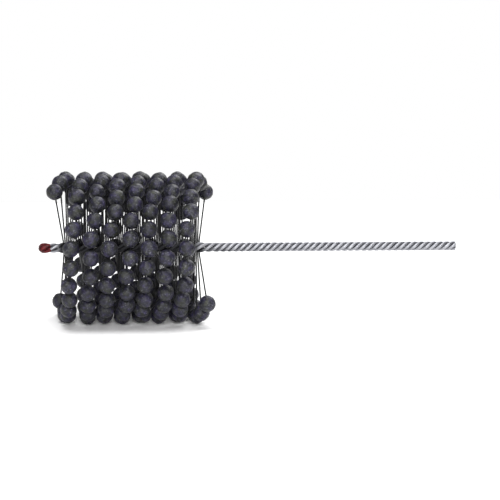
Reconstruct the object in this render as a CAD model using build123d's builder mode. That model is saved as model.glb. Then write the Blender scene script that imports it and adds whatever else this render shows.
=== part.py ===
from build123d import *
import math
import os
import random

# Flexible ball hone: a four-strand twisted wire stem that holds a helix of nylon filaments,
# each one passed right through the stem and carrying an abrasive globule on both ends.
# X runs along the stem with the shank's cut end at x = 0 and the tip at -X, Z is up.

# Stem
overall_length = 343.0
wire_diameter = 2.9
strand_gap = 0.08
shank_lead = 21.1
shank_end_round = 0.9
trim_room = 0.1
closing_length = 19.0
path_step = 1.6
past_last_filament = 3.0

# Fineness of the search for the strands' places
solver_halvings = 50
solver_passes = 12
search_steps = 100

# Painted tip
tip_dip_length = 9.9
tip_coat = 0.3
tip_cap = 0.6
tip_fit = 0.04
tip_round = 1.2

# Filaments
filament_diameter = 1.25
filament_grip = 0.12
filaments_per_turn = 23
filament_count = 86
head_lead = 30.1
first_filament_from_tip = 20.1
first_filament_angle = 62.6
root_straight = 6.0
root_bend_radius = 16.0

# How the arms stand
ball_reach = 56.2
axial_wander = 1.3
side_wander = 0.3
reach_wander = 0.8
end_lean = 6.5
end_lean_fade = 0.3
level_sector = 24.0
wander_seed = 26

# Abrasive globules
ball_diameter = 13.5
ball_size_spread = 0.2
neck_diameter = 3.0
neck_length = 1.3
neck_end_radius = 0.95
neck_fillet = 1.2
bond_gap = 0.08
socket_end_gap = 0.15
filament_end_to_centre = 1.0

rotation_step = 360 / filaments_per_turn
filament_pitch = head_lead / filaments_per_turn
tip_x = -overall_length
first_x = tip_x + first_filament_from_tip
last_x = first_x + (filament_count - 1) * filament_pitch
open_end_x = last_x + past_last_filament
closed_x = open_end_x + closing_length


def around(angle):
    """Unit vector square to the stem: 0 degrees is the front, 90 degrees is up."""
    turn = math.radians(angle)
    return Vector(0, -math.cos(turn), math.sin(turn))


def on_stem(x):
    return Vector(x, 0, 0)


def bisect(rises_through_zero, low, high):
    for _ in range(solver_halvings):
        middle = (low + high) / 2
        if rises_through_zero(middle) > 0:
            high = middle
        else:
            low = middle
    return (low + high) / 2


def shifts_within(reach):
    """Even places along the stem, both ways from zero."""
    return [reach * n / search_steps for n in range(-search_steps, search_steps + 1)]


def strand_distance(radius, lead, phase):
    """Least distance between the centre lines of two equal helices, phase in radians."""
    shifts = shifts_within(lead / 4)
    squares = [
        2 * radius**2 * (1 - math.cos(phase - 2 * math.pi * shift / lead)) + shift**2
        for shift in shifts
    ]
    return math.sqrt(min(squares))


def distance_to_filament(along, across):
    """Least distance from a strand's centre line to a filament through the stem's axis."""
    radius = math.hypot(along, across)
    angle = math.atan2(across, along)
    shifts = shifts_within(head_lead / 8)
    squares = [
        (radius * math.sin(angle - 2 * math.pi * shift / head_lead)) ** 2 + shift**2
        for shift in shifts
    ]
    return math.sqrt(min(squares))


# Strand places in the stem's turning frame: along is parallel to the filaments, across is square to them.
# In the shank the four strands lie in a square and touch; in the head two pairs grip the filaments.
strand_spacing = wire_diameter + strand_gap
filament_spacing = (wire_diameter + filament_diameter) / 2 + filament_grip
shank_radius = bisect(
    lambda r: strand_distance(r, shank_lead, math.pi / 2) - strand_spacing,
    wire_diameter / 2,
    2 * wire_diameter,
)
shank_half = shank_radius / math.sqrt(2)
head_along = shank_half
head_across = shank_half
for _ in range(solver_passes):
    head_across = bisect(
        lambda b: distance_to_filament(head_along, b) - filament_spacing,
        filament_spacing / 2,
        2 * wire_diameter,
    )
    head_along = bisect(
        lambda a: strand_distance(
            math.hypot(a, head_across), head_lead, 2 * math.atan2(a, head_across)
        )
        - strand_spacing,
        wire_diameter / 4,
        2 * wire_diameter,
    )


def frame_angle(x):
    """Angle of the filament direction at x: even along the head, then faster up to the shank's twist."""
    angle = first_filament_angle + 360 * (min(x, last_x) - first_x) / head_lead
    if x <= last_x:
        return angle
    run = min(x, closed_x) - last_x
    gain = (1 / shank_lead - 1 / head_lead) * run**2 / (2 * (closed_x - last_x))
    return angle + 360 * (run / head_lead + gain + max(x - closed_x, 0) / shank_lead)


def strand_point(x, along_side, across_side):
    share = min(max((x - open_end_x) / closing_length, 0), 1)
    closed = share**2 * (3 - 2 * share)
    along = along_side * (head_along + closed * (shank_half - head_along))
    across = across_side * (head_across + closed * (shank_half - head_across))
    angle = frame_angle(x)
    return on_stem(x) + around(angle) * along + around(angle + 90) * across


def strand_path(from_x, to_x, along_side, across_side):
    """Centre line of one strand: head helix, closing stretch and shank helix."""
    steps = round((to_x - from_x) / path_step)
    stops = [from_x + (to_x - from_x) * n / steps for n in range(steps + 1)]
    with BuildLine() as path:
        Spline(*[strand_point(x, along_side, across_side) for x in stops])
    return path


def strand(from_x, to_x, diameter, along_side, across_side):
    """One strand between two places on the stem, its ends cut square to the stem."""
    path = strand_path(from_x - diameter, to_x + diameter, along_side, across_side)
    with BuildPart() as rod:
        with BuildSketch(path.line ^ 0):
            Circle(diameter / 2)
        sweep(path=path.line, is_frenet=True)
        split(bisect_by=Plane(on_stem(from_x), z_dir=(1, 0, 0)), keep=Keep.TOP)
        split(bisect_by=Plane(on_stem(to_x), z_dir=(1, 0, 0)), keep=Keep.BOTTOM)
    return rod.part


def nose_trim(nose_x, back_x, radius, nose_round):
    """What lies outside a rounded nose at the end of the stem, to be cut from the strands there."""
    towards_nose = 1 if nose_x > back_x else -1
    with BuildPart() as bar:
        with BuildSketch(Plane(on_stem(back_x), z_dir=(towards_nose, 0, 0))):
            Circle(radius + trim_room)
        extrude(amount=abs(nose_x - back_x))
        nose = bar.faces().sort_by_distance(on_stem(nose_x))[0]
        fillet(nose.edges(), radius=nose_round + trim_room)
    with BuildPart() as trim:
        with BuildSketch(Plane(on_stem(back_x + towards_nose * trim_room), z_dir=(towards_nose, 0, 0))):
            Circle(radius + wire_diameter)
        extrude(amount=abs(nose_x - back_x) + wire_diameter)
        add(bar.part, mode=Mode.SUBTRACT)
    return trim.part


def filament_x(number):
    return first_x + number * filament_pitch


def arm_angle(number, end):
    return first_filament_angle + number * rotation_step + 180 * end


def off_straight_down(angle):
    return (angle + 270) % 360 - 180


def near_the_ground(angle):
    """The arms that the hone lies on carry full-size globules, which all touch the ground."""
    return abs(off_straight_down(angle)) < level_sector / 2


def level_reach(angle):
    """Reach of an arm near the ground, level with one at the edge of that sector at full reach."""
    edge = math.cos(math.radians(level_sector / 2))
    return ball_reach * edge / math.cos(math.radians(off_straight_down(angle)))


def arm(number, end):
    """Elbow, end of the bend, globule centre and direction of one arm of a filament."""
    angle = arm_angle(number, end)
    chance = random.Random(wander_seed + 2 * number + end)
    free = ball_reach - root_straight
    spread = end_lean * (end_lean_fade ** (filament_count - 1 - number) - end_lean_fade**number)
    lean_along = math.radians(spread) + chance.uniform(-axial_wander, axial_wander) / free
    lean_side = chance.uniform(-side_wander, side_wander) / free
    if near_the_ground(angle):
        reach = level_reach(angle)
    else:
        reach = ball_reach - chance.uniform(0, reach_wander)
    lean = math.hypot(lean_along, lean_side)
    towards = (on_stem(lean_along) + around(angle + 90) * lean_side) * (1 / lean)
    elbow = on_stem(filament_x(number)) + around(angle) * root_straight
    rise = around(angle) * math.sin(lean) + towards * (1 - math.cos(lean))
    bend_end = elbow + rise * root_bend_radius
    direction = around(angle) * math.cos(lean) + towards * math.sin(lean)
    centre = bend_end + direction * (reach - root_straight - root_bend_radius * lean)
    return elbow, bend_end, centre, direction


def ball_radius(number, end):
    chance = random.Random(wander_seed - 1 - 2 * number - end)
    spread = 0 if near_the_ground(arm_angle(number, end)) else ball_size_spread
    return ball_diameter / 2 + chance.uniform(-spread, spread)


def filament(number):
    """One nylon filament: straight through the stem, with a soft bend and an arm on both sides."""
    elbow, bend_end, centre, direction = arm(number, 0)
    other_elbow, other_bend_end, other_centre, other_direction = arm(number, 1)
    tip = centre - direction * filament_end_to_centre
    other_tip = other_centre - other_direction * filament_end_to_centre
    with BuildPart() as rod:
        with BuildLine() as path:
            Line(other_tip, other_bend_end)
            TangentArc(other_elbow, other_bend_end, tangent=around(arm_angle(number, 1)))
            Line(other_elbow, elbow)
            TangentArc(elbow, bend_end, tangent=around(arm_angle(number, 0)))
            Line(bend_end, tip)
        with BuildSketch(Plane(other_tip, z_dir=-other_direction)):
            Circle(filament_diameter / 2)
        sweep(path=path.wires()[0])
    return rod.part


def globule(number, end):
    """An abrasive globule moulded round a filament's end, with a short neck down the filament."""
    elbow, bend_end, centre, direction = arm(number, end)
    radius = ball_radius(number, end)
    neck_top = -math.sqrt(radius**2 - (neck_diameter / 2) ** 2)
    neck_end = -(radius + neck_length)
    socket = filament_diameter / 2 + bond_gap
    socket_top = socket_end_gap - filament_end_to_centre
    across = direction.cross(Vector(1, 0, 0)).normalized()
    with BuildPart() as ball:
        with BuildSketch(Plane(centre, x_dir=across, z_dir=across.cross(direction))):
            with BuildLine():
                ThreePointArc((0, radius), (radius, 0), (neck_diameter / 2, neck_top))
                Line((neck_diameter / 2, neck_top), (neck_end_radius, neck_end))
                Polyline(
                    (neck_end_radius, neck_end),
                    (socket, neck_end),
                    (socket, socket_top),
                    (0, socket_top),
                    (0, radius),
                )
            outline = make_face()
            waist = outline.vertices().sort_by_distance((neck_diameter / 2, neck_top))[0]
            fillet(waist, radius=neck_fillet)
        revolve(axis=Axis(centre, direction))
    return ball.part


def save(part, name):
    part.label = name
    export_step(part, f"parts/{name}.step")


os.makedirs("parts", exist_ok=True)

# Four stem wires, cut square at the tip and rounded over at the shank's end
sides = [(1, 1), (-1, 1), (-1, -1), (1, -1)]
shank_outer = shank_radius + wire_diameter / 2
head_outer = math.hypot(head_along, head_across) + wire_diameter / 2
wire_start = tip_x + tip_cap
shank_trim = nose_trim(0, -2 * shank_end_round, shank_outer, shank_end_round)
for place, (along_side, across_side) in enumerate(sides, start=1):
    with BuildPart() as stem_wire:
        add(strand(wire_start, 0, wire_diameter, along_side, across_side))
        add(shank_trim, mode=Mode.SUBTRACT)
    save(stem_wire.part, f"stem_wire_{place}")

# Painted tip: a coat over the four strands' ends that also fills the space between them
coat_diameter = wire_diameter + 2 * tip_coat
bore_diameter = wire_diameter + 2 * tip_fit
coat_end_x = tip_x + tip_dip_length
with BuildPart() as painted_tip:
    for along_side, across_side in sides:
        add(strand(tip_x, coat_end_x, coat_diameter, along_side, across_side))
    with BuildSketch(Plane(on_stem(tip_x), z_dir=(1, 0, 0))):
        Circle(math.hypot(head_along, head_across))
    extrude(amount=tip_dip_length)
    add(nose_trim(tip_x, tip_x + 2 * tip_round, head_outer + tip_coat, tip_round), mode=Mode.SUBTRACT)
    for along_side, across_side in sides:
        bore = strand(wire_start, coat_end_x + tip_dip_length, bore_diameter, along_side, across_side)
        add(bore, mode=Mode.SUBTRACT)
save(painted_tip.part, "painted_tip")

# Filaments, one node for each turn of the helix
for turn in range(math.ceil(filament_count / filaments_per_turn)):
    first = turn * filaments_per_turn
    with BuildPart() as filaments:
        for number in range(first, min(first + filaments_per_turn, filament_count)):
            add(filament(number))
    save(filaments.part, f"filaments_turn_{turn + 1}")

# Globules in rows along the hone: the arms of one start and those of the other half a step on
half_turn_step = filaments_per_turn // 2
for row in range(filaments_per_turn):
    with BuildPart() as ball_row:
        for number in range(filament_count):
            if number % filaments_per_turn == row:
                add(globule(number, 0))
            if (number + half_turn_step) % filaments_per_turn == row:
                add(globule(number, 1))
    save(ball_row.part, f"ball_row_{row + 1:02d}")
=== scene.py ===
import math
import random

import bpy
from mathutils import Matrix, Vector


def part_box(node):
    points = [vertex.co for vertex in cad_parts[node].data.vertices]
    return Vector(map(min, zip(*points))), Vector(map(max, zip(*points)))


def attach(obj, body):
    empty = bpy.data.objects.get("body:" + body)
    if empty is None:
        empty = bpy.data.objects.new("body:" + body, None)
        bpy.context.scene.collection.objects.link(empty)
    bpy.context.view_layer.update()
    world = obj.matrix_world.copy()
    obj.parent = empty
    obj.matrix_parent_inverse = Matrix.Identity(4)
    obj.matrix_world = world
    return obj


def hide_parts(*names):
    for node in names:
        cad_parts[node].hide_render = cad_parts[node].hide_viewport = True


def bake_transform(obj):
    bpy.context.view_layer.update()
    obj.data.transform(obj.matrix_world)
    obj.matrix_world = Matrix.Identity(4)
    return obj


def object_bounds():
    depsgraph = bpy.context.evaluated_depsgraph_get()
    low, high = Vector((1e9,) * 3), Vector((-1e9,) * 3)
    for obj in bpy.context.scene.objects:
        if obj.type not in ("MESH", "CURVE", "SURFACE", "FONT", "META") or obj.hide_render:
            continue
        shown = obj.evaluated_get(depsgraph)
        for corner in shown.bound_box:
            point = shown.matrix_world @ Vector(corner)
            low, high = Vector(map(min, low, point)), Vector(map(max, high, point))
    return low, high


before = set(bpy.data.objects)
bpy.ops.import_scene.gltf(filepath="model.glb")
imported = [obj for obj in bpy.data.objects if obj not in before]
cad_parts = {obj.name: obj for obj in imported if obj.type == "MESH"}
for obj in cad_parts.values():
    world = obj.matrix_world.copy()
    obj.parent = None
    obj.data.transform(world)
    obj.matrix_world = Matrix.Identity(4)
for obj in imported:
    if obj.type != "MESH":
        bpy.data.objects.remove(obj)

# Flexible ball hone lying on its globules: wire stem, painted tip, nylon arms, grit globules
cadLow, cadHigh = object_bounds()
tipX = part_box("painted_tip")[0].x
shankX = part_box("stem_wire_1")[1].x
rowNodes = sorted(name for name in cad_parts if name.startswith("ball_row_"))
filamentNodes = sorted(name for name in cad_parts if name.startswith("filaments_turn_"))
rowCount = len(rowNodes)
mm = 0.001
mergeDistance = 0.002 * mm


def clearSelection():
    if bpy.context.mode != "OBJECT":
        bpy.ops.object.mode_set(mode="OBJECT")
    bpy.ops.object.select_all(action="DESELECT")


def pick(piece):
    clearSelection()
    piece.select_set(True)
    bpy.context.view_layer.objects.active = piece


def joinPieces(pieces, name):
    clearSelection()
    for piece in pieces:
        piece.select_set(True)
    bpy.context.view_layer.objects.active = pieces[0]
    bpy.ops.object.join()
    joined = bpy.context.object
    bpy.ops.object.transform_apply(location=True, rotation=True, scale=True)
    joined.name = name
    joined.data.name = name
    return joined


def finishWith(piece, kind, **settings):
    pick(piece)
    modifier = piece.modifiers.new(kind.lower(), kind)
    for setting, value in settings.items():
        setattr(modifier, setting, value)
    bpy.ops.object.modifier_apply(modifier=modifier.name)


def surfaceTexture(name, size, depth):
    texture = bpy.data.textures.new(name, "CLOUDS")
    texture.noise_scale = size
    texture.noise_depth = depth
    return texture


def roughen(piece, texture, height):
    # pushes the surface in and out by half the height at most
    finishWith(
        piece,
        "DISPLACE",
        texture=texture,
        texture_coords="LOCAL",
        strength=height,
        mid_level=0.5,
    )


def selectFaces(piece, wanted):
    # leaves the piece in edit mode with only the wanted faces selected
    pick(piece)
    bpy.ops.object.mode_set(mode="EDIT")
    bpy.ops.mesh.select_mode(type="FACE")
    bpy.ops.mesh.select_all(action="DESELECT")
    bpy.ops.object.mode_set(mode="OBJECT")
    for face in piece.data.polygons:
        face.select = wanted(face.center)
    bpy.ops.object.mode_set(mode="EDIT")


def chosenCorners(piece):
    return {index for face in piece.data.polygons if face.select for index in face.vertices}


def roundBars(name, paths, radius, sideSteps):
    # bars along lists of points, as one mesh with closed ends
    curve = bpy.data.curves.new(name, "CURVE")
    curve.dimensions = "3D"
    curve.bevel_depth = radius
    curve.bevel_resolution = sideSteps
    curve.use_fill_caps = True
    for path in paths:
        spline = curve.splines.new("POLY")
        spline.points.add(len(path) - 1)
        for point, place in zip(spline.points, path):
            point.co = (*place, 1)
    bars = bpy.data.objects.new(name, curve)
    bpy.context.collection.objects.link(bars)
    pick(bars)
    bpy.ops.object.convert(target="MESH")
    bars = bpy.context.object
    bpy.ops.object.mode_set(mode="EDIT")
    bpy.ops.mesh.select_all(action="SELECT")
    bpy.ops.mesh.remove_doubles(threshold=mergeDistance)
    bpy.ops.mesh.normals_make_consistent(inside=False)
    bpy.ops.object.mode_set(mode="OBJECT")
    bpy.ops.object.shade_smooth()
    return bars


# Where the filaments stand on the stem, as in the CAD model; angles are in degrees
layout = {
    "filamentCount": 86,
    "perTurn": 23,
    "headLead": 30.1 * mm,
    "firstFromTip": 20.1 * mm,
    "firstAngle": 62.6,
    "rowMiddle": 0.25,  # in steps: the two lines of arms in a row stand half a step apart
}
rotationStep = 360 / layout["perTurn"]
filamentPitch = layout["headLead"] / layout["perTurn"]
firstX = tipX + layout["firstFromTip"]
lastX = firstX + (layout["filamentCount"] - 1) * filamentPitch


def around(angle):
    # square to the stem: 0 degrees is the front, 90 degrees is up
    turn = math.radians(angle)
    return Vector((0, -math.cos(turn), math.sin(turn)))


# Camera at the photograph's angle
cameraSettings = {
    "azimuth": 2.2,  # degrees towards the tip from square to the stem
    "elevation": 9.0,
    "distance": 1.5,
    "lens": 131.13,
    "sensorWidth": 36,
    "aimX": -0.1699,
    "aimZ": -0.0026,
}


def makeCamera(settings):
    camera = bpy.data.objects.new("camera", bpy.data.cameras.new("camera"))
    bpy.context.collection.objects.link(camera)
    tilt = math.radians(settings["elevation"])
    swing = math.radians(settings["azimuth"])
    level = math.cos(tilt)
    back = Vector((-math.sin(swing) * level, -math.cos(swing) * level, math.sin(tilt)))
    aim = Vector((settings["aimX"], 0, settings["aimZ"]))
    camera.location = aim + back * settings["distance"]
    camera.rotation_euler = (-back).to_track_quat("-Z", "Y").to_euler()
    camera.data.lens = settings["lens"]
    camera.data.sensor_width = settings["sensorWidth"]
    bpy.context.scene.camera = camera


makeCamera(cameraSettings)
print("camera")


# Helpers for the materials
def newMaterial(name):
    material = bpy.data.materials.new(name)
    material.use_nodes = True
    return material, material.node_tree, material.node_tree.nodes["Principled BSDF"]


def feed(tree, node, inputs):
    # links what comes from another node and sets plain values on the node's own sockets
    for socket, value in inputs.items():
        if isinstance(value, bpy.types.NodeSocket):
            tree.links.new(value, node.inputs[socket])
        else:
            node.inputs[socket].default_value = value


def addNode(tree, kind, inputs, **settings):
    made = tree.nodes.new("ShaderNode" + kind)
    for setting, value in settings.items():
        setattr(made, setting, value)
    feed(tree, made, inputs)
    return made


def addRamp(tree, factor, stops):
    ramp = addNode(tree, "ValToRGB", {"Fac": factor})
    elements = ramp.color_ramp.elements  # a new ramp has two
    for number, (place, colour) in enumerate(stops):
        stop = elements[number] if number < 2 else elements.new(place)
        stop.position = place
        stop.color = (*colour, 1)
    return ramp.outputs["Color"]


def addRange(tree, value, fromMin, fromMax, toMin, toMax):
    made = addNode(tree, "MapRange", {0: value, 1: fromMin, 2: fromMax, 3: toMin, 4: toMax})
    return made.outputs[0]


def addMath(tree, operation, first, second):
    return addNode(tree, "Math", {0: first, 1: second}, operation=operation).outputs[0]


def mixColours(tree, factor, first, second, blend="MIX"):
    # the node's sockets 6 and 7 and its output 2 are the ones for colours
    inputs = {0: factor, 6: first, 7: second}
    return addNode(tree, "Mix", inputs, data_type="RGBA", blend_type=blend).outputs[2]


def objectPlace(tree):
    return addNode(tree, "TexCoord", {}).outputs["Object"]


def fromStemAxis(tree, place):
    # distance from the stem's axis, which is the X axis
    flat = addNode(tree, "VectorMath", {0: place, 1: (0, 1, 1)}, operation="MULTIPLY").outputs[0]
    return addNode(tree, "VectorMath", {0: flat}, operation="LENGTH").outputs["Value"]


def addNoise(tree, place, scale, detail, roughness):
    inputs = {"Vector": place, "Scale": scale, "Detail": detail, "Roughness": roughness}
    return addNode(tree, "TexNoise", inputs).outputs[0]


def addCells(tree, place, scale):
    # a tone for each cell, and the distance from the cell's middle
    cells = addNode(tree, "TexVoronoi", {"Vector": place, "Scale": scale})
    tone = addNode(tree, "SeparateColor", {0: cells.outputs["Color"]}).outputs[0]
    return tone, cells.outputs["Distance"]


def addBump(tree, height, distance, strength, normal=None):
    inputs = {"Height": height, "Distance": distance, "Strength": strength}
    if normal is not None:
        inputs["Normal"] = normal
    return addNode(tree, "Bump", inputs).outputs["Normal"]


# In each finish a noise is its scale, detail and roughness, a bump is its depth and strength,
# and a range is the two ends that it reads and the two ends that it gives
wireFinish = {
    "bright": (0.42, 0.425, 0.45),
    "dull": (0.26, 0.263, 0.285),
    "patchScale": 320,
    "cloudNoise": (90, 5, 0.6),
    "cloudRange": (0.35, 0.7, 0.0, 0.45),
    # painted shade in the grooves between strands: this colour at the groove radius, none from
    # the crest radius out
    "grooveShade": (0.16, 0.162, 0.18),
    "grooveRadius": 2.4 * mm,
    "crestRadius": 3.75 * mm,
    "metallic": 0.92,
    "edgeTint": (0.3, 0.3, 0.33),
    "smoothest": 0.43,
    "roughest": 0.56,
    # painted shade inside the head, under the globules and arms: darker and less metallic there
    "headShade": (0.012, 0.012, 0.013),
    "headShadeSpread": 4 * mm,
    "headShadePastHead": 2 * mm,
    "headShadeMost": 0.93,
    "headShadeMetallic": 0.1,
    "linesRound": 60,  # how much finer the drawn lines are round the wire than along its map
    "lineNoise": (18, 3, 0.6),
    "lineBump": (0.02 * mm, 0.4),
    "pitNoise": (2600, 2, 0.5),
    "pitBump": (0.03 * mm, 0.5),
}


def addHeadShade(tree, place, finish):
    # painted shade of the globules and arms on the wire inside the head, faded out towards both
    # its ends
    axial = addNode(tree, "SeparateXYZ", {0: place}).outputs[0]
    spread = finish["headShadeSpread"]
    tipEnd = firstX - finish["headShadePastHead"]
    fromTip = addRange(tree, axial, tipEnd - spread, tipEnd, 0.0, 1.0)
    fromShank = addRange(tree, axial, lastX - spread, lastX, 1.0, 0.0)
    headShade = addMath(tree, "MULTIPLY", fromTip, fromShank)
    return addMath(tree, "MULTIPLY", headShade, finish["headShadeMost"])


def addDrawnLines(tree, finish):
    # the wire's own map runs from 0 to 1 round it and from 0 to 1 along it
    wrap = addNode(tree, "UVMap", {}).outputs["UV"]
    finer = (finish["linesRound"], 1, 1)
    lines = addNode(tree, "VectorMath", {0: wrap, 1: finer}, operation="MULTIPLY").outputs[0]
    return addNoise(tree, lines, *finish["lineNoise"])


def makeWireMaterial(finish):
    # bright galvanised wire: zinc patches, drawn lines, with painted shade in the grooves and
    # inside the head
    material, tree, shader = newMaterial("galvanisedWire")
    place = objectPlace(tree)
    patchTone = addCells(tree, place, finish["patchScale"])[0]
    colour = addRamp(tree, patchTone, [(0.0, finish["dull"]), (1.0, finish["bright"])])
    cloud = addNoise(tree, place, *finish["cloudNoise"])
    cloud = addRange(tree, cloud, *finish["cloudRange"])
    colour = mixColours(tree, cloud, colour, (*finish["dull"], 1))
    # painted shade: the wire is darker towards the stem's axis, in the grooves between strands
    radius = fromStemAxis(tree, place)
    crest = addRange(tree, radius, finish["grooveRadius"], finish["crestRadius"], 0.0, 1.0)
    colour = mixColours(tree, crest, (*finish["grooveShade"], 1), colour)
    # painted shade inside the head: the wire is darker and less metallic under the globules and
    # arms
    headShade = addHeadShade(tree, place, finish)
    pits = addNoise(tree, place, *finish["pitNoise"])
    normal = addBump(tree, pits, *finish["pitBump"])
    surface = {
        "Base Color": mixColours(tree, headShade, colour, (*finish["headShade"], 1)),
        "Metallic": addRange(tree, headShade, 0.0, 1.0, finish["metallic"], finish["headShadeMetallic"]),
        "Roughness": addRange(tree, patchTone, 0.0, 1.0, finish["smoothest"], finish["roughest"]),
        "Specular Tint": (*finish["edgeTint"], 1),
        "Normal": addBump(tree, addDrawnLines(tree, finish), *finish["lineBump"], normal),
    }
    feed(tree, shader, surface)
    return material


paintFinish = {
    "dark": (0.022, 0.002, 0.003),
    "darkAt": 0.3,
    "fresh": (0.115, 0.005, 0.008),
    "freshAt": 0.62,
    "cloudNoise": (420, 4, 0.6),
    # painted shade in the grooves between strands, strongest at the groove radius
    "grooveRadius": 2.9 * mm,
    "crestRadius": 3.8 * mm,
    "grooveShadeMost": 0.75,
    "worn": (0.17, 0.03, 0.03),
    "thinFrom": 3.7 * mm,
    "thinTo": 4.3 * mm,
    "thinMost": 0.7,
    "fleckNoise": (1500, 3, 0.7),
    "fleckRange": (0.5, 0.62, 0.0, 1.0),
    "roughnessRange": (0.3, 0.7, 0.3, 0.55),
    "specular": 0.22,
    "skinNoise": (1100, 4, 0.6),
    "skinBump": (0.12 * mm, 0.6),
}


def makePaintMaterial(finish):
    # dried dip paint: thick dark red, dull in patches, thin over the crests, with painted shade
    # in the grooves
    material, tree, shader = newMaterial("driedRedPaint")
    place = objectPlace(tree)
    cloud = addNoise(tree, place, *finish["cloudNoise"])
    tones = [(finish["darkAt"], finish["dark"]), (finish["freshAt"], finish["fresh"])]
    colour = addRamp(tree, cloud, tones)
    radius = fromStemAxis(tree, place)
    # painted shade: the paint is darkened towards the dark tone in the grooves between strands
    grooveShadeEnds = (finish["grooveRadius"], finish["crestRadius"])
    grooveShade = addRange(tree, radius, *grooveShadeEnds, finish["grooveShadeMost"], 0.0)
    colour = mixColours(tree, grooveShade, colour, (*finish["dark"], 1))
    thin = addRange(tree, radius, finish["thinFrom"], finish["thinTo"], 0.0, finish["thinMost"])
    flecks = addNoise(tree, place, *finish["fleckNoise"])
    flecks = addRange(tree, flecks, *finish["fleckRange"])
    worn = addMath(tree, "MULTIPLY", thin, flecks)
    skin = addNoise(tree, place, *finish["skinNoise"])
    surface = {
        "Base Color": mixColours(tree, worn, colour, (*finish["worn"], 1)),
        "Roughness": addRange(tree, cloud, *finish["roughnessRange"]),
        "Specular IOR Level": finish["specular"],
        "Normal": addBump(tree, skin, *finish["skinBump"]),
    }
    feed(tree, shader, surface)
    return material


nylonFinish = {
    "black": (0.003, 0.003, 0.004),
    "blackAt": 0.4,
    "scuffed": (0.013, 0.013, 0.015),
    "scuffedAt": 0.75,
    "scuffNoise": (700, 4, 0.65),
    "scuffBump": (0.03 * mm, 0.4),
    "dust": (0.05, 0.05, 0.054),
    "dustFrom": 40 * mm,
    "dustTo": 52 * mm,
    "dustNoise": (2400, 2, 0.6),
    "dustRange": (0.5, 0.6, 0.0, 0.8),
    "roughnessRange": (0.35, 0.7, 0.38, 0.6),
    "specular": 0.25,
}


def makeNylonMaterial(finish):
    # smooth black nylon, scuffed in patches and dusty near the globule
    material, tree, shader = newMaterial("blackNylon")
    place = objectPlace(tree)
    scuff = addNoise(tree, place, *finish["scuffNoise"])
    tones = [(finish["blackAt"], finish["black"]), (finish["scuffedAt"], finish["scuffed"])]
    colour = addRamp(tree, scuff, tones)
    radius = fromStemAxis(tree, place)
    dusty = addRange(tree, radius, finish["dustFrom"], finish["dustTo"], 0.0, 1.0)
    flecks = addNoise(tree, place, *finish["dustNoise"])
    flecks = addRange(tree, flecks, *finish["dustRange"])
    dusty = addMath(tree, "MULTIPLY", dusty, flecks)
    surface = {
        "Base Color": mixColours(tree, dusty, colour, (*finish["dust"], 1)),
        "Roughness": addRange(tree, scuff, *finish["roughnessRange"]),
        "Specular IOR Level": finish["specular"],
        "Normal": addBump(tree, scuff, *finish["scuffBump"]),
    }
    feed(tree, shader, surface)
    return material


gritFinish = {
    "olive": (0.016, 0.0175, 0.011),
    "oliveAt": 0.36,
    "grey": (0.0105, 0.0105, 0.0185),
    "greyAt": 0.5,
    "violet": (0.018, 0.0145, 0.041),
    "violetAt": 0.66,
    "patchNoise": (210, 3, 0.55),
    "grainScale": 1350,
    "grainBump": (0.25 * mm, 0.6),
    "binder": (0.005, 0.005, 0.008),
    "binderRange": (0.0, 0.45, 0.75, 0.0),
    "light": (0.075, 0.075, 0.09),
    "lightRange": (0.82, 1.0, 0.0, 0.7),
    "mottleNoise": (560, 2, 0.6),
    "mottleRange": (0.36, 0.64, 0.5, 1.7),
    "toneName": "globuleTone",
    "smoothest": 0.36,
    "roughest": 0.52,
    "specular": 0.36,
    "fineNoise": (2300, 3, 0.7),
    "fineBump": (0.2 * mm, 0.6),
}


def makeGritMaterial(finish):
    # bonded grit: dark binder, grey grains, bluish and olive patches, and a tone for each globule
    material, tree, shader = newMaterial("bondedGrit")
    place = objectPlace(tree)
    patches = addNoise(tree, place, *finish["patchNoise"])
    tints = [(finish[tint + "At"], finish[tint]) for tint in ("olive", "grey", "violet")]
    colour = addRamp(tree, patches, tints)
    grainTone, fromGrain = addCells(tree, place, finish["grainScale"])
    for grain in ("binder", "light"):
        share = addRange(tree, grainTone, *finish[grain + "Range"])
        colour = mixColours(tree, share, colour, (*finish[grain], 1))
    mottle = addNoise(tree, place, *finish["mottleNoise"])
    mottle = addRange(tree, mottle, *finish["mottleRange"])
    tone = addNode(tree, "Attribute", {}, attribute_name=finish["toneName"]).outputs["Fac"]
    tone = addMath(tree, "MULTIPLY", tone, mottle)
    dim = addNode(tree, "CombineColor", {0: tone, 1: tone, 2: tone}).outputs[0]
    fine = addNoise(tree, place, *finish["fineNoise"])
    normal = addBump(tree, fromGrain, *finish["grainBump"])
    surface = {
        "Base Color": mixColours(tree, 1.0, colour, dim, "MULTIPLY"),
        "Roughness": addRange(tree, grainTone, 0.0, 1.0, finish["smoothest"], finish["roughest"]),
        "Specular IOR Level": finish["specular"],
        "Normal": addBump(tree, fine, *finish["fineBump"], normal),
    }
    feed(tree, shader, surface)
    return material


wireMaterial = makeWireMaterial(wireFinish)
paintMaterial = makePaintMaterial(paintFinish)
nylonMaterial = makeNylonMaterial(nylonFinish)
gritMaterial = makeGritMaterial(gritFinish)
print("materials")

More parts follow.
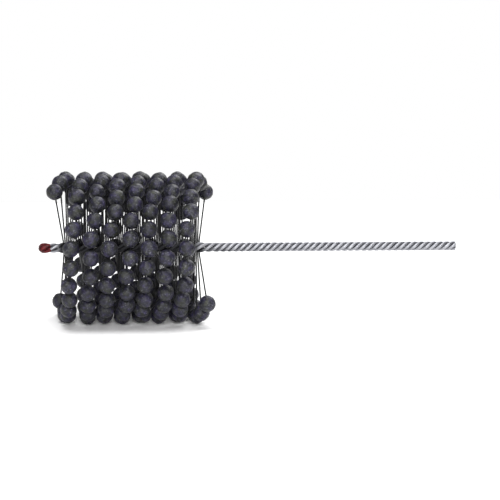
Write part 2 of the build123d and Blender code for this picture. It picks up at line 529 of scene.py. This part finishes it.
# Stem wires: two pairs that grip the filaments in the head, and a closed twist past its ends
wireSettings = {
    "diameter": 2.9 * mm,
    "headAlong": 1.676 * mm,  # half the spacing of the strands, along and across the filaments
    "headAcross": 2.357 * mm,
    "shankHalf": 1.709 * mm,  # half the spacing in the closed twist
    "shankLead": 21.1 * mm,
    "twistEvenPast": 22 * mm,  # where the twist reaches the shank's lead, past the last filament
    "openBeside": 0.5 * mm,  # the pairs stay open this far beside the end filaments
    "closingLength": 4.5 * mm,
    "tipClosingLength": 2.6 * mm,
    "startInPaint": 2.6 * mm,
    "step": 0.9 * mm,
    "sideSteps": 10,
    "capDepth": 0.05 * mm,  # a face this near the end of the path belongs to the cap
    "endRound": 0.9 * mm,  # of the whole twist's outer edge, at the cut
    "endSteps": 4,
    "smoothAngle": 35,  # degrees: sharper edges stay crisp
}
strandSides = [(1, 1), (-1, 1), (-1, -1), (1, -1)]
evenX = lastX + wireSettings["twistEvenPast"]


def frameAngle(x):
    # the filaments' direction at x: even in the head, then faster up to the shank's twist
    headLead = layout["headLead"]
    shankLead = wireSettings["shankLead"]
    angle = layout["firstAngle"] + 360 * (min(x, lastX) - firstX) / headLead
    if x <= lastX:
        return angle
    run = min(x, evenX) - lastX
    gain = (1 / shankLead - 1 / headLead) * run**2 / (2 * (evenX - lastX))
    return angle + 360 * (run / headLead + gain + max(x - evenX, 0) / shankLead)


def closedShare(x):
    # 0 where the pairs are open for the filaments, 1 where the strands lie close together
    pastHead = (x - lastX - wireSettings["openBeside"]) / wireSettings["closingLength"]
    beforeHead = (firstX - x - wireSettings["openBeside"]) / wireSettings["tipClosingLength"]
    share = min(max(pastHead, beforeHead, 0), 1)
    return share**2 * (3 - 2 * share)


def strandPoint(x, alongSide, acrossSide):
    closed = closedShare(x)
    shankHalf = wireSettings["shankHalf"]
    along = wireSettings["headAlong"] + closed * (shankHalf - wireSettings["headAlong"])
    across = wireSettings["headAcross"] + closed * (shankHalf - wireSettings["headAcross"])
    angle = frameAngle(x)
    place = Vector((x, 0, 0))
    place += around(angle) * along * alongSide
    place += around(angle + 90) * across * acrossSide
    return place


def strandPath(fromX, toX, alongSide, acrossSide):
    steps = round((toX - fromX) / wireSettings["step"])
    path = []
    for step in range(steps + 1):
        x = fromX + (toX - fromX) * step / steps
        path.append(strandPoint(x, alongSide, acrossSide))
    return path


def squareEnd(piece, path):
    # slides the wire's last ring along the strand into one plane square to the stem
    end = path[-1]
    direction = (end - path[-2]).normalized()
    selectFaces(piece, lambda place: abs((place - end).dot(direction)) < wireSettings["capDepth"])
    bpy.ops.object.mode_set(mode="OBJECT")
    for index in chosenCorners(piece):
        corner = piece.data.vertices[index]
        corner.co += direction * (end.x - corner.co.x) / direction.x


def roundEnd(piece):
    # carries the strand on to the cut, where the whole twist's outer edge is rounded off
    rounding = wireSettings["endRound"]
    steps = wireSettings["endSteps"]
    stemRadius = math.sqrt(2) * wireSettings["shankHalf"] + wireSettings["diameter"] / 2
    for step in range(steps):
        before = math.pi / 2 * step / steps
        after = math.pi / 2 * (step + 1) / steps
        depth = rounding * (math.sin(after) - math.sin(before))
        bpy.ops.object.mode_set(mode="EDIT")
        bpy.ops.mesh.extrude_region_move(TRANSFORM_OT_translate={"value": (depth, 0, 0)})
        bpy.ops.object.mode_set(mode="OBJECT")
        turn = Matrix.Rotation(-2 * math.pi * depth / wireSettings["shankLead"], 3, "X")
        limit = stemRadius - rounding * (1 - math.cos(after))
        for index in chosenCorners(piece):
            corner = piece.data.vertices[index]
            corner.co = turn @ corner.co
            inward = min(limit / math.hypot(corner.co.y, corner.co.z), 1)
            corner.co.y *= inward
            corner.co.z *= inward


def makeWire(number, alongSide, acrossSide):
    fromX = tipX + wireSettings["startInPaint"]
    path = strandPath(fromX, shankX - wireSettings["endRound"], alongSide, acrossSide)
    radius = wireSettings["diameter"] / 2
    wire = roundBars(f"stemWire{number}", [path], radius, wireSettings["sideSteps"])
    squareEnd(wire, path)
    roundEnd(wire)
    pick(wire)
    bpy.ops.object.shade_smooth_by_angle(angle=math.radians(wireSettings["smoothAngle"]))
    wire.data.materials.append(wireMaterial)
    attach(wire, "stem")
    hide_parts(f"stem_wire_{number}")


for number, (alongSide, acrossSide) in enumerate(strandSides, start=1):
    makeWire(number, alongSide, acrossSide)
print("stem wires")

# Painted tip
tipSettings = {
    "coat": 0.33 * mm,
    "coatSideSteps": 6,
    # how far each strand's paint stops before the longest
    "endsShort": (0.0, 0.9 * mm, 0.3 * mm, 1.4 * mm),
    "inset": 0.2 * mm,  # of the strands and the core, from the CAD tip's end
    "coreRadius": 2.5 * mm,
    "coreSides": 24,
    "burrRadius": 0.5 * mm,
    "burrInset": 0.5 * mm,
    "burrSubdivisions": 2,
    "voxel": 0.13 * mm,
    "smoothFactor": 0.5,
    "smoothRounds": 6,
    "noseLength": 3.2 * mm,
    "noseFlat": 0.45,  # the paint's radius at the very end, as a share
    "lumpSize": 1.3 * mm,
    "lumpDepth": 2,
    "lumpHeight": 0.22 * mm,
}


def coatStrands(low, high):
    fat = wireSettings["diameter"] / 2 + tipSettings["coat"]
    paths = []
    for side, short in zip(strandSides, tipSettings["endsShort"]):
        paths.append(strandPath(low.x + tipSettings["inset"], high.x - short, *side))
    return roundBars("paintedTip", paths, fat, tipSettings["coatSideSteps"])


def fillCore(low, high):
    # the paint between the strands
    length = high.x - low.x - max(tipSettings["endsShort"])
    clearSelection()
    bpy.ops.mesh.primitive_cylinder_add(
        vertices=tipSettings["coreSides"],
        radius=tipSettings["coreRadius"],
        depth=length,
        location=(low.x + tipSettings["inset"] + length / 2, 0, 0),
        rotation=(0, math.pi / 2, 0),
    )
    return bpy.context.object


def addBurr(low):
    # a small bead of paint that stands proud of the first strand's end
    clearSelection()
    bpy.ops.mesh.primitive_ico_sphere_add(
        subdivisions=tipSettings["burrSubdivisions"],
        radius=tipSettings["burrRadius"],
        location=strandPoint(low.x + tipSettings["burrInset"], *strandSides[0]),
    )
    return bpy.context.object


def drawInNose(coat, low):
    # the dried paint draws in to a blunt nose
    flat = tipSettings["noseFlat"]
    for vertex in coat.data.vertices:
        left = 1 - min(max((vertex.co.x - low.x) / tipSettings["noseLength"], 0), 1)
        inward = flat + (1 - flat) * math.sqrt(1 - left**2)
        vertex.co.y *= inward
        vertex.co.z *= inward


def makeTip():
    low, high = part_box("painted_tip")
    coat = joinPieces([coatStrands(low, high), fillCore(low, high), addBurr(low)], "paintedTip")
    finishWith(coat, "REMESH", mode="VOXEL", voxel_size=tipSettings["voxel"])
    rounds = tipSettings["smoothRounds"]
    finishWith(coat, "SMOOTH", factor=tipSettings["smoothFactor"], iterations=rounds)
    drawInNose(coat, low)
    lumps = surfaceTexture("paintLumps", tipSettings["lumpSize"], tipSettings["lumpDepth"])
    roughen(coat, lumps, tipSettings["lumpHeight"])
    pick(coat)
    bpy.ops.object.shade_smooth()
    coat.data.materials.clear()
    coat.data.materials.append(paintMaterial)
    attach(coat, "stem")
    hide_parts("painted_tip")


makeTip()
print("painted tip")

# Nylon arms: each filament passes through the stem and makes two arms, ends 0 and 1
armSettings = {
    "diameter": 1.25 * mm,
    "reach": 56.2 * mm,  # from the stem's axis to the globule's centre
    "rootStraight": 6 * mm,
    "rootShare": 0.6,  # of the straight root: an extra point just before the arm flexes
    "bendRadius": 16 * mm,
    "bendSteps": 3,
    "axialWander": 1.3 * mm,  # the globules' shifts, at most
    "sideWander": 0.3 * mm,
    "reachWander": 0.8 * mm,
    "endLean": 6.5,  # outward lean of the end arms in degrees, and what is left of it at the next
    "endLeanFade": 0.3,
    "levelSector": 24,  # degrees round straight down, where the globules touch the floor
    "seed": 26,
    "sideSteps": 2,
    "flexFrom": 4 * mm,  # the arm flexes between these distances from the axis
    "flexTo": 25 * mm,
    "flexSteps": 9,
    "endToCentre": 1 * mm,
}


def armAngle(number, end):
    return layout["firstAngle"] + number * rotationStep + 180 * end


def offStraightDown(angle):
    return (angle + 270) % 360 - 180


def nearTheGround(angle):
    return abs(offStraightDown(angle)) < armSettings["levelSector"] / 2


def armReach(angle, chance):
    # the globules that the hone lies on all touch the floor
    if nearTheGround(angle):
        edge = math.cos(math.radians(armSettings["levelSector"] / 2))
        return armSettings["reach"] * edge / math.cos(math.radians(offStraightDown(angle)))
    return armSettings["reach"] - chance.uniform(0, armSettings["reachWander"])


def outwardLean(number):
    # in degrees: towards the tip at the tip's end of the head, towards the shank at the other
    last = layout["filamentCount"] - 1
    fade = armSettings["endLeanFade"]
    return armSettings["endLean"] * (fade ** (last - number) - fade**number)


def armShape(number, end):
    angle = armAngle(number, end)
    straight = armSettings["rootStraight"]
    bendRadius = armSettings["bendRadius"]
    free = armSettings["reach"] - straight
    chance = random.Random(armSettings["seed"] + 2 * number + end)
    axial = chance.uniform(-armSettings["axialWander"], armSettings["axialWander"])
    leanAlong = math.radians(outwardLean(number)) + axial / free
    leanSide = chance.uniform(-armSettings["sideWander"], armSettings["sideWander"]) / free
    reach = armReach(angle, chance)
    lean = math.hypot(leanAlong, leanSide)
    towards = (Vector((leanAlong, 0, 0)) + around(angle + 90) * leanSide) / lean
    root = Vector((firstX + number * filamentPitch, 0, 0))
    elbow = root + around(angle) * straight
    bend = []
    for step in range(1, armSettings["bendSteps"] + 1):
        turned = lean * step / armSettings["bendSteps"]
        rise = around(angle) * math.sin(turned) + towards * (1 - math.cos(turned))
        bend.append(elbow + rise * bendRadius)
    direction = around(angle) * math.cos(lean) + towards * math.sin(lean)
    centre = bend[-1] + direction * (reach - straight - bendRadius * lean)
    return {"root": root, "elbow": elbow, "bend": bend, "direction": direction, "centre": centre}


def armPath(number, end):
    shape = armShape(number, end)
    root = shape["root"]
    elbow = shape["elbow"]
    direction = shape["direction"]
    bendEnd = shape["bend"][-1]
    tip = shape["centre"] - direction * armSettings["endToCentre"]
    run = (tip - bendEnd).length
    flexRun = armSettings["flexTo"] - armSettings["rootStraight"]
    path = [root, root.lerp(elbow, armSettings["rootShare"]), elbow, *shape["bend"]]
    for step in range(1, armSettings["flexSteps"] + 1):
        path.append(bendEnd + direction * flexRun * step / armSettings["flexSteps"])
    path.append(bendEnd + direction * (run + flexRun) / 2)
    path.append(tip)
    return path


def rowArms(row):
    # the arms of one row: one start of the double helix, and the other half a step on
    arms = []
    for number in range(layout["filamentCount"]):
        if number % rowCount == row:
            arms.append((number, 0))
        if (number + rowCount // 2) % rowCount == row:
            arms.append((number, 1))
    return arms


def makeArmRow(row):
    paths = [armPath(*which) for which in rowArms(row)]
    radius = armSettings["diameter"] / 2
    arms = roundBars(f"armRow{row + 1:02d}", paths, radius, armSettings["sideSteps"])
    arms.data.materials.append(nylonMaterial)
    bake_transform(arms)
    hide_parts(*filamentNodes)


for row in range(rowCount):
    makeArmRow(row)
print("nylon arms")

# Abrasive globules: one is modelled, and each copy is turned, squashed and roughened by itself
globuleSettings = {
    "diameter": 13.5 * mm,
    "sizeSpread": 0.2 * mm,
    "subdivisions": 5,
    "neckRadius": 1.5 * mm,
    "neckLength": 1.3 * mm,
    "neckTaper": 0.66,
    "neckSteps": 2,
    "smoothBeyond": 0.9,  # of the radius, on the neck's side
    "smoothFactor": 0.5,
    "smoothRounds": 2,
    "squash": 0.035,
    "seed": 1000,
    "lumpSize": 4.5 * mm,
    "lumpHeight": 0.75 * mm,
    "dentSize": 1.9 * mm,
    "dentHeight": 0.22 * mm,
    "gritSize": 0.75 * mm,
    "gritHeight": 0.16 * mm,
    "textureDepth": 1,
    "toneLow": 0.75,
    "toneHigh": 1.2,
}


def ballRadius(number, end):
    # the globules that the hone lies on are all of one size
    chance = random.Random(armSettings["seed"] - 1 - 2 * number - end)
    spread = 0 if nearTheGround(armAngle(number, end)) else globuleSettings["sizeSpread"]
    return globuleSettings["diameter"] / 2 + chance.uniform(-spread, spread)


def makeFirstGlobule():
    # a ball with a short tapered neck where the filament enters, pointing down
    radius = globuleSettings["diameter"] / 2
    neckRadius = globuleSettings["neckRadius"]
    steps = globuleSettings["neckSteps"]
    depth = globuleSettings["neckLength"] / steps
    taper = globuleSettings["neckTaper"] ** (1 / steps)
    clearSelection()
    bpy.ops.mesh.primitive_ico_sphere_add(
        subdivisions=globuleSettings["subdivisions"], radius=radius
    )
    ball = bpy.context.object
    selectFaces(ball, lambda place: place.z < 0 and math.hypot(place.x, place.y) < neckRadius)
    for step in range(steps):
        level = -radius - depth * (step + 1)
        bpy.ops.mesh.extrude_region_move(TRANSFORM_OT_translate={"value": (0, 0, -depth)})
        bpy.ops.transform.resize(value=(taper, taper, 0), center_override=(0, 0, level))
    selectFaces(ball, lambda place: place.z < -radius * globuleSettings["smoothBeyond"])
    bpy.ops.mesh.vertices_smooth(
        factor=globuleSettings["smoothFactor"], repeat=globuleSettings["smoothRounds"]
    )
    bpy.ops.object.mode_set(mode="OBJECT")
    return ball


def placeGlobule(first, number, end):
    shape = armShape(number, end)
    chance = random.Random(globuleSettings["seed"] + 2 * number + end)
    ball = first.copy()
    ball.data = first.data.copy()
    bpy.context.collection.objects.link(ball)
    turn = shape["direction"].to_track_quat("Z", "X").to_matrix().to_4x4()
    spin = Matrix.Rotation(chance.uniform(0, 2 * math.pi), 4, "Z")
    size = 2 * ballRadius(number, end) / globuleSettings["diameter"]
    sizes = [size * chance.uniform(1 - globuleSettings["squash"], 1) for axis in range(3)]
    stretch = Matrix.Diagonal((*sizes, 1))
    ball.matrix_world = Matrix.Translation(shape["centre"]) @ turn @ spin @ stretch
    tone = ball.data.attributes.new(gritFinish["toneName"], "FLOAT", "POINT")
    shade = chance.uniform(globuleSettings["toneLow"], globuleSettings["toneHigh"])
    tone.data.foreach_set("value", [shade] * len(ball.data.vertices))
    return ball


def surfaceLayers():
    # lumps, dents and grit, each with its height
    layers = []
    for layer in ("lump", "dent", "grit"):
        size = globuleSettings[layer + "Size"]
        texture = surfaceTexture(layer, size, globuleSettings["textureDepth"])
        layers.append((texture, globuleSettings[layer + "Height"]))
    return layers


def makeGlobuleRow(row, first, layers):
    globules = [placeGlobule(first, *which) for which in rowArms(row)]
    balls = joinPieces(globules, f"globuleRow{row + 1:02d}")
    for texture, height in layers:
        roughen(balls, texture, height)
    pick(balls)
    bpy.ops.object.shade_smooth()
    balls.data.materials.append(gritMaterial)
    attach(balls, f"arm_row_{row + 1:02d}")
    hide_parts(rowNodes[row])


firstGlobule = makeFirstGlobule()
globuleLayers = surfaceLayers()
for row in range(rowCount):
    makeGlobuleRow(row, firstGlobule, globuleLayers)
bpy.data.objects.remove(firstGlobule)
print("globules")

# Floor and soft studio light
studio = {
    "floorHalf": 0.75,
    "floorColour": (0.98, 0.98, 0.98),
    "floorRoughness": 0.9,
    "worldStrength": 0.33,
    "lights": {
        "keyLight": {"place": (-0.3, -0.5, 1.6), "power": 26.0, "size": 1.0},
        "frontLight": {"place": (-0.3, -1.5, 0.5), "power": 17.0, "size": 0.5},
        "backLight": {"place": (0.4, 1.0, 1.1), "power": 18.0, "size": 1.0},
    },
}


def makeFloor():
    clearSelection()
    bpy.ops.mesh.primitive_plane_add(
        size=2 * studio["floorHalf"], location=(cadLow.x / 2, 0, cadLow.z)
    )
    floor = bpy.context.object
    floor.name = "floor"
    material, tree, shader = newMaterial("paleFloor")
    surface = {
        "Base Color": (*studio["floorColour"], 1),
        "Roughness": studio["floorRoughness"],
    }
    feed(tree, shader, surface)
    floor.data.materials.append(material)


def addSoftLight(name, place, power, size):
    light = bpy.data.objects.new(name, bpy.data.lights.new(name, "AREA"))
    bpy.context.collection.objects.link(light)
    light.data.energy = power
    light.data.size = size
    light.location = place
    aim = Vector((cameraSettings["aimX"], 0, 0)) - light.location
    light.rotation_euler = aim.to_track_quat("-Z", "Y").to_euler()


def makeBackdrop():
    # even light from all round, which the camera itself sees as plain white
    world = bpy.data.worlds.new("studio")
    world.use_nodes = True
    tree = world.node_tree
    seen = addNode(tree, "LightPath", {}).outputs["Is Camera Ray"]
    strength = addRange(tree, seen, 0.0, 1.0, studio["worldStrength"], 1.0)
    feed(tree, tree.nodes["Background"], {"Color": (1, 1, 1, 1), "Strength": strength})
    bpy.context.scene.world = world
    bpy.context.scene.view_settings.view_transform = "Standard"


makeFloor()
for name, light in studio["lights"].items():
    addSoftLight(name, light["place"], light["power"], light["size"])
makeBackdrop()
print("studio")
